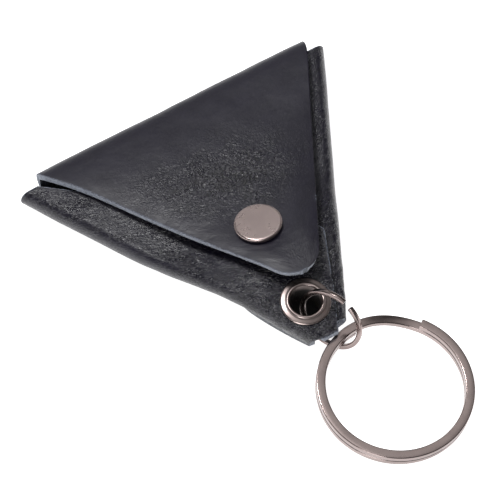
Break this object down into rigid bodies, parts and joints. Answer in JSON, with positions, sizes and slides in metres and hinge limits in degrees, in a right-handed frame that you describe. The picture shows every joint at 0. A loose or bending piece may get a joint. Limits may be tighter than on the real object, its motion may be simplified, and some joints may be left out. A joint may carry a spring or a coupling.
{
  "type": "pick holder",
  "caption": "Triangular folded leather pouch for guitar picks, with a snap-down flap, an eyelet, a jump ring and a split key ring.",
  "frame": {"origin": "middle of the flat part of the back, on its outer face, where the pouch lies on a table", "axes": "+Z out of the front of the pouch, square to its flat back; +Y from the eyelet and rings towards the fold of the flap; X across, along the flap's fold"},
  "size_m": [0.074, 0.0963, 0.0147],
  "materials": {
    "leather": "satin pebble-grained black leather with raw, fibrous blue-grey cut edges",
    "gunmetal": "warm gunmetal plating, satin to polished",
    "spring_steel": "bright drawn wire"
  },
  "bodies": {
    "pouch": {"back_panel": "leather", "right_wing": "leather", "left_wing": "leather", "fold_spine": "leather", "snap_stud": "gunmetal", "stud_post": "gunmetal", "eyelet": "gunmetal", "eyelet_washer": "gunmetal"},
    "flap": {"flap": "leather", "snap_cap": "gunmetal", "snap_socket": "gunmetal", "socket_spring": "spring_steel"},
    "jump_ring": {"jump_ring": "gunmetal"},
    "key_ring": {"key_ring": "gunmetal"}
  },
  "joints": [
    {"name": "flap_hinge", "type": "hinge", "parent": "pouch", "child": "flap", "pos_m": [0.0016, 0.0167, 0.0035], "axis": [-1, 0, 0], "range_deg": [0, 165]},
    {"name": "jump_ring_swing", "type": "hinge", "parent": "pouch", "child": "jump_ring", "pos_m": [-0.00088, -0.03969, 0.00596], "axis": [0, 0, 1], "range_deg": [-30, 8]},
    {"name": "key_ring_lift", "type": "hinge", "parent": "jump_ring", "child": "key_ring", "pos_m": [0.00302, -0.04894, 0.00467], "axis": [-0.9763, -0.2141, 0.032], "range_deg": [0, 76]}
  ]
}
